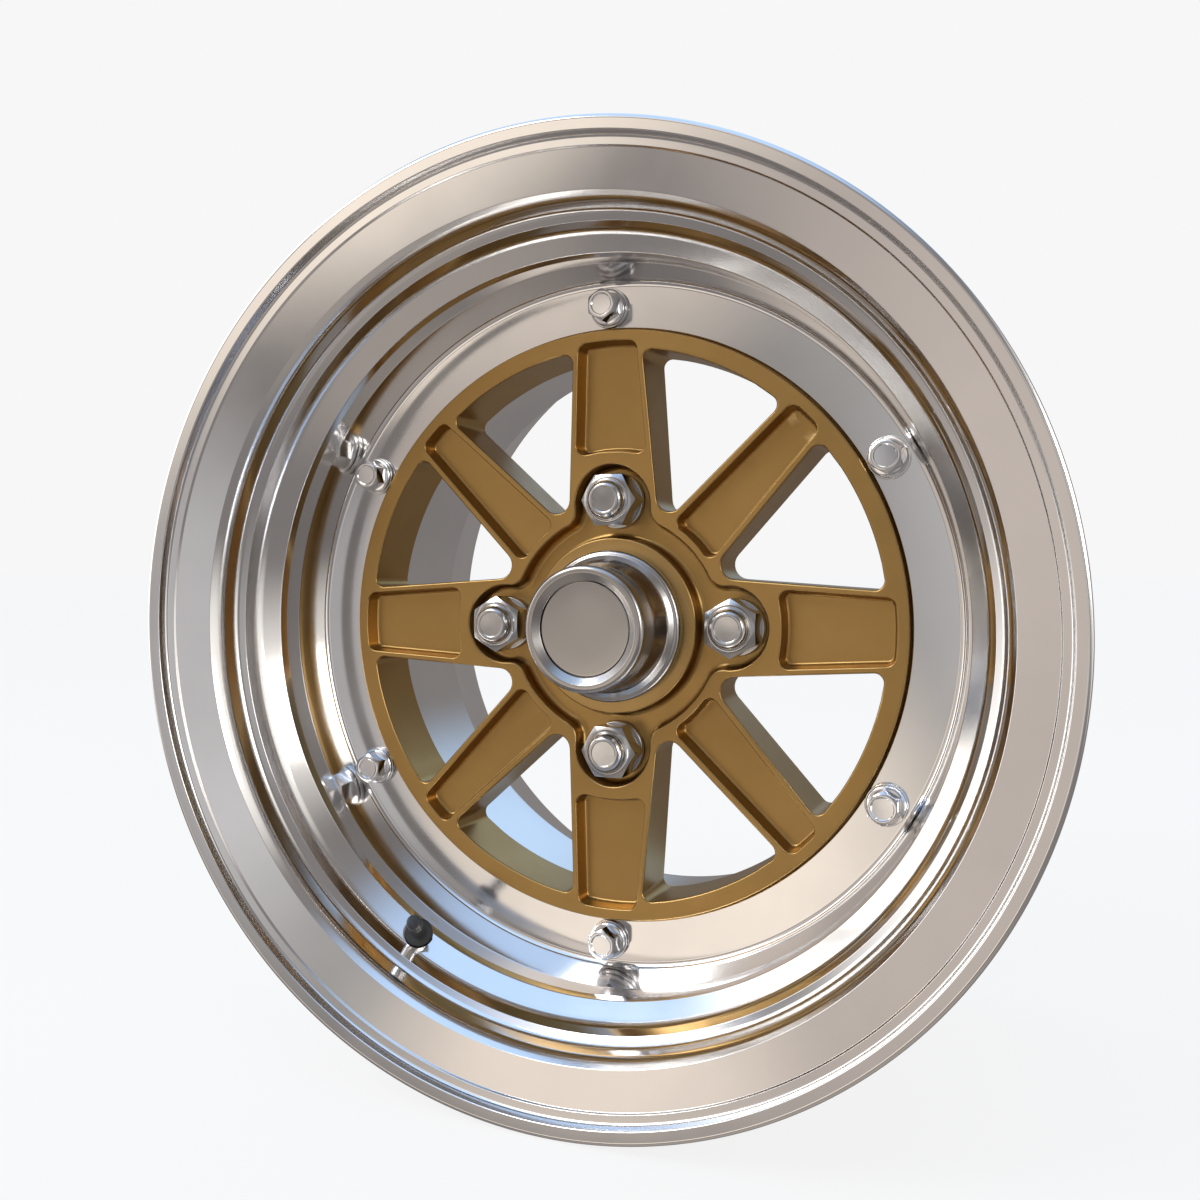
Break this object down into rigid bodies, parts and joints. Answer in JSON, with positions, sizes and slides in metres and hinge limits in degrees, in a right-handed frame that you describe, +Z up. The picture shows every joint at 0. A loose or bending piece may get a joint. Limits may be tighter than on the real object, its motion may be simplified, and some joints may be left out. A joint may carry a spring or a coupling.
{
  "type": "racing wheel rim",
  "caption": "Built-up racing wheel: bronze forged spoked centre bolted into a deep polished barrel, with domed lug nuts, push-in centre cap and tyre valve.",
  "frame": {"origin": "centre of the hub seat, on the wheel's axis", "axes": "+Y along the wheel's axis towards the vehicle, -Y out of the visible face, +Z up through one lug nut"},
  "size_m": [0.3894, 0.2259, 0.3894],
  "materials": {
    "satin_bronze": "satin bronze anodised",
    "polished_aluminium": "mirror polished",
    "chrome_steel": "polished",
    "nickel_steel": "bright nickel, lightly worn",
    "satin_cap_aluminium": "satin",
    "black_rubber": "matt",
    "black_plastic": "satin",
    "valve_brass": "plain",
    "grey_sealant": "matt"
  },
  "bodies": {
    "wheel": {"wheel_centre": "satin_bronze", "outer_barrel": "polished_aluminium", "inner_barrel": "polished_aluminium", "barrel_seal": "grey_sealant", "assembly_bolt_1": "chrome_steel", "assembly_bolt_2": "chrome_steel", "assembly_bolt_3": "chrome_steel", "assembly_bolt_4": "chrome_steel", "assembly_bolt_5": "chrome_steel", "assembly_bolt_6": "chrome_steel", "bolt_washer_1": "chrome_steel", "bolt_washer_2": "chrome_steel", "bolt_washer_3": "chrome_steel", "bolt_washer_4": "chrome_steel", "bolt_washer_5": "chrome_steel", "bolt_washer_6": "chrome_steel", "lug_seat_insert_1": "nickel_steel", "lug_seat_insert_2": "nickel_steel", "lug_seat_insert_3": "nickel_steel", "lug_seat_insert_4": "nickel_steel", "valve_body": "black_rubber", "valve_sleeve": "chrome_steel", "valve_tube": "valve_brass", "valve_core": "valve_brass"},
    "lug_washer_1": {"lug_washer_1": "nickel_steel"},
    "lug_nut_1": {"lug_nut_1": "nickel_steel"},
    "lug_washer_2": {"lug_washer_2": "nickel_steel"},
    "lug_nut_2": {"lug_nut_2": "nickel_steel"},
    "lug_washer_3": {"lug_washer_3": "nickel_steel"},
    "lug_nut_3": {"lug_nut_3": "nickel_steel"},
    "lug_washer_4": {"lug_washer_4": "nickel_steel"},
    "lug_nut_4": {"lug_nut_4": "nickel_steel"},
    "centre_cap": {"cap_shell": "satin_cap_aluminium", "cap_face": "satin_cap_aluminium", "cap_o_ring": "black_rubber"},
    "valve_cap_seal": {"valve_cap_seal": "black_rubber"},
    "valve_cap": {"valve_cap": "black_plastic"},
    "valve_pin": {"valve_pin": "nickel_steel"}
  },
  "joints": [
    {"name": "lug_washer_1_lift", "type": "slide", "parent": "wheel", "child": "lug_washer_1", "axis": [0, -1, 0], "range_m": [0, 0.015]},
    {"name": "lug_nut_1_turn", "type": "hinge", "parent": "lug_washer_1", "child": "lug_nut_1", "pos_m": [0.055, -0.021, 0], "axis": [0, -1, 0], "range_deg": [0, 3600]},
    {"name": "lug_washer_2_lift", "type": "slide", "parent": "wheel", "child": "lug_washer_2", "axis": [0, -1, 0], "range_m": [0, 0.015]},
    {"name": "lug_nut_2_turn", "type": "hinge", "parent": "lug_washer_2", "child": "lug_nut_2", "pos_m": [0, -0.021, 0.055], "axis": [0, -1, 0], "range_deg": [0, 3600]},
    {"name": "lug_washer_3_lift", "type": "slide", "parent": "wheel", "child": "lug_washer_3", "axis": [0, -1, 0], "range_m": [0, 0.015]},
    {"name": "lug_nut_3_turn", "type": "hinge", "parent": "lug_washer_3", "child": "lug_nut_3", "pos_m": [-0.055, -0.021, 0], "axis": [0, -1, 0], "range_deg": [0, 3600]},
    {"name": "lug_washer_4_lift", "type": "slide", "parent": "wheel", "child": "lug_washer_4", "axis": [0, -1, 0], "range_m": [0, 0.015]},
    {"name": "lug_nut_4_turn", "type": "hinge", "parent": "lug_washer_4", "child": "lug_nut_4", "pos_m": [0, -0.021, -0.055], "axis": [0, -1, 0], "range_deg": [0, 3600]},
    {"name": "centre_cap_pull", "type": "slide", "parent": "wheel", "child": "centre_cap", "axis": [0, -1, 0], "range_m": [0, 0.04]},
    {"name": "valve_cap_lift", "type": "slide", "parent": "wheel", "child": "valve_cap_seal", "axis": [0.3214, -0.766, 0.5567], "range_m": [0, 0.0056]},
    {"name": "valve_cap_turn", "type": "hinge", "parent": "valve_cap_seal", "child": "valve_cap", "pos_m": [-0.07396, -0.07044, -0.1281], "axis": [0.3214, -0.766, 0.5567], "range_deg": [0, 2520]},
    {"name": "valve_pin_press", "type": "slide", "parent": "wheel", "child": "valve_pin", "axis": [-0.3214, 0.766, -0.5567], "range_m": [0, 0.001], "stiffness_N_per_m": 400}
  ],
  "couplings": [
    {"joint": "lug_washer_1_lift", "follows": "lug_nut_1_turn", "m_per_rad": 0.00023873},
    {"joint": "lug_washer_2_lift", "follows": "lug_nut_2_turn", "m_per_rad": 0.00023873},
    {"joint": "lug_washer_3_lift", "follows": "lug_nut_3_turn", "m_per_rad": 0.00023873},
    {"joint": "lug_washer_4_lift", "follows": "lug_nut_4_turn", "m_per_rad": 0.00023873},
    {"joint": "valve_cap_lift", "follows": "valve_cap_turn", "m_per_rad": 0.00012634}
  ]
}
